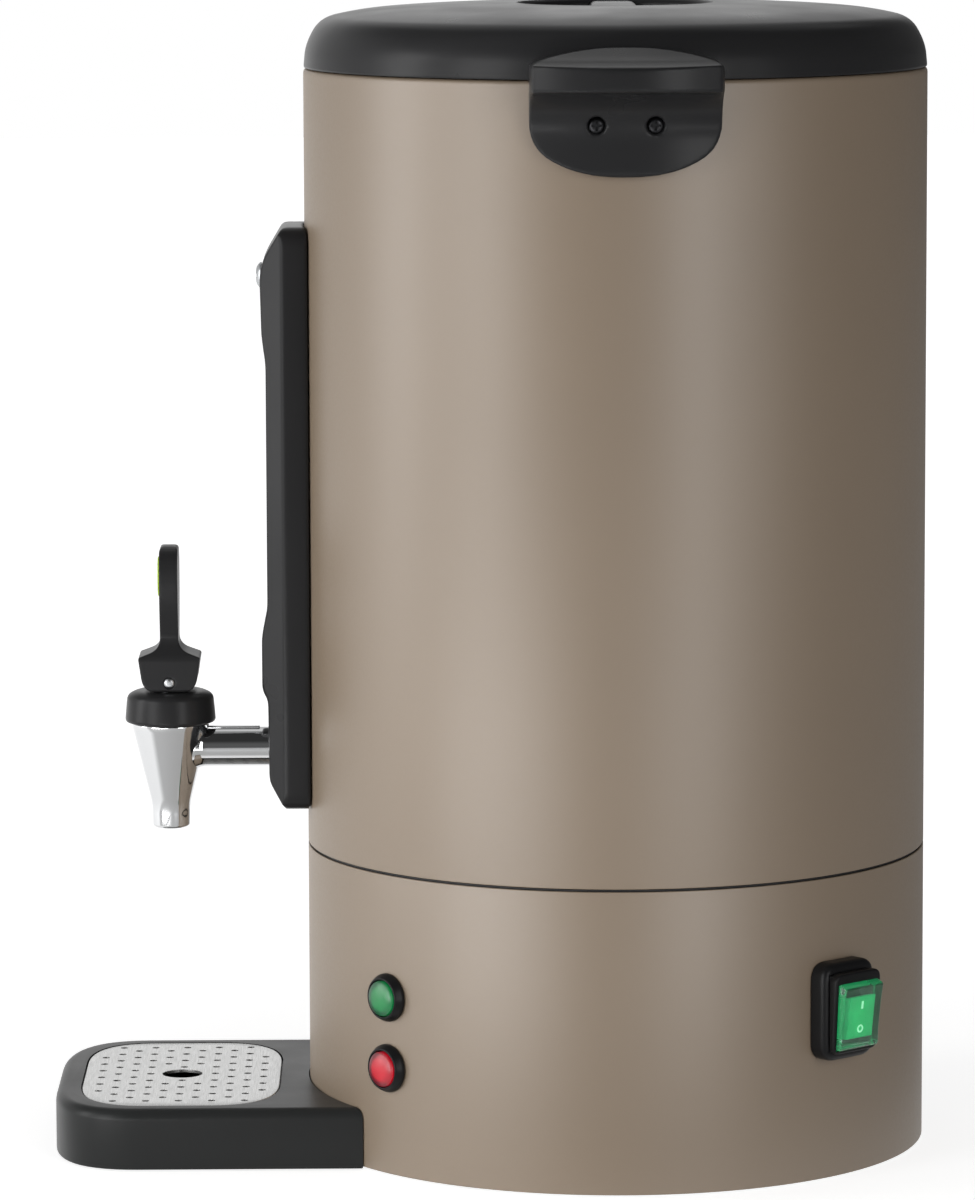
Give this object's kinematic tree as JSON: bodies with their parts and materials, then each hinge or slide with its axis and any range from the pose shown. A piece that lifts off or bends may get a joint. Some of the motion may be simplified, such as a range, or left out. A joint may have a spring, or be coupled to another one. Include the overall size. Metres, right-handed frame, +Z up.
{
  "type": "coffee percolator",
  "caption": "Double-walled electric coffee percolator with side handles, sight gauge, lever tap and pull-out drip tray.",
  "frame": {"origin": "middle of the footprint rectangle, on the surface that the feet stand on", "axes": "+Z up; the tap and the drip tray face -Y; +X is the side with the lamps and the switch"},
  "size_m": [0.307, 0.344, 0.4504],
  "materials": {
    "taupe_paint": "satin powder coat",
    "black_plastic": "satin moulded",
    "black_rubber": "matte",
    "stainless": "brushed",
    "steel": "zinc plated",
    "dark_steel": "blackened",
    "chrome": "polished",
    "aluminium": "milled",
    "brass": "turned",
    "silicone": "matte",
    "glass": "clear",
    "clear_plastic": "clear",
    "lime_plastic": "satin",
    "green_lens": "translucent",
    "red_lens": "translucent",
    "ceramic": "unglazed"
  },
  "bodies": {
    "machine": {"outer_shell": "taupe_paint", "base_shell": "taupe_paint", "seam_ring": "black_plastic", "base_plate": "stainless", "foot_1": "black_rubber", "foot_2": "black_rubber", "foot_3": "black_rubber", "foot_4": "black_rubber", "base_screw_1": "steel", "base_screw_2": "steel", "base_screw_3": "steel", "inner_tank": "stainless", "tank_floor": "stainless", "right_handle": "black_plastic", "right_handle_bracket": "steel", "right_handle_screw_1": "dark_steel", "right_handle_screw_2": "dark_steel", "left_handle": "black_plastic", "left_handle_bracket": "steel", "left_handle_screw_1": "dark_steel", "left_handle_screw_2": "dark_steel", "gauge_housing": "black_plastic", "gauge_window": "clear_plastic", "sight_tube": "glass", "gauge_lower_seal": "silicone", "gauge_upper_seal": "silicone", "gauge_screw": "steel", "tap_body": "chrome", "tap_bonnet": "black_plastic", "tank_washer": "silicone", "shank_nut": "brass", "green_lamp_bezel": "black_rubber", "green_lamp_lens": "green_lens", "red_lamp_bezel": "black_rubber", "red_lamp_lens": "red_lens", "switch_frame": "black_rubber", "switch_body": "black_plastic", "power_inlet": "black_plastic", "inlet_pin_live": "brass", "inlet_pin_earth": "brass", "inlet_pin_neutral": "brass", "riser_tube": "stainless", "filter_basket": "stainless", "basket_cover": "stainless", "heat_plate": "aluminium", "main_element": "steel", "keep_warm_element": "steel", "thermostat": "ceramic", "thermal_cutout": "ceramic"},
    "lid_seal": {"lid_seal": "silicone"},
    "lid": {"lid": "black_plastic"},
    "tap_stem": {"tap_stem": "stainless", "tap_pin": "steel", "seat_cup": "silicone"},
    "tap_lever": {"tap_lever": "black_plastic", "lever_inset": "lime_plastic"},
    "rocker": {"rocker": "green_lens"},
    "drip_tray": {"drip_tray": "black_plastic"},
    "drip_grid": {"drip_grid": "stainless"},
    "pump_valve": {"pump_valve": "stainless"}
  },
  "joints": [
    {"name": "lid_lift", "type": "slide", "parent": "machine", "child": "lid_seal", "axis": [0, 0, 1], "range_m": [0, 0.08]},
    {"name": "lid_turn", "type": "hinge", "parent": "lid_seal", "child": "lid", "pos_m": [0, 0.05, 0.43], "axis": [0, 0, 1], "range_deg": [0, 25]},
    {"name": "stem_lift", "type": "slide", "parent": "machine", "child": "tap_stem", "axis": [0, 0, 1], "range_m": [0, 0.00506]},
    {"name": "lever_pull", "type": "hinge", "parent": "tap_stem", "child": "tap_lever", "pos_m": [0, -0.1263, 0.1829], "axis": [1, 0, 0], "range_deg": [0, 40], "stiffness_Nm_per_rad": 0.15, "springref_deg": -28.65},
    {"name": "rocker_press", "type": "hinge", "parent": "machine", "child": "rocker", "pos_m": [0.09689, 0.13816, 0.0672], "axis": [0.673, -0.7396, 0], "range_deg": [0, 13.2]},
    {"name": "tray_slide", "type": "slide", "parent": "machine", "child": "drip_tray", "axis": [0, -1, 0], "range_m": [0, 0.1]},
    {"name": "grid_lift", "type": "slide", "parent": "drip_tray", "child": "drip_grid", "axis": [0, 0, 1], "range_m": [0, 0.04]},
    {"name": "valve_lift", "type": "slide", "parent": "machine", "child": "pump_valve", "axis": [0, 0, 1], "range_m": [0, 0.003]}
  ],
  "couplings": [
    {"joint": "lever_pull", "follows": "stem_lift", "rad_per_m": 137.93}
  ]
}
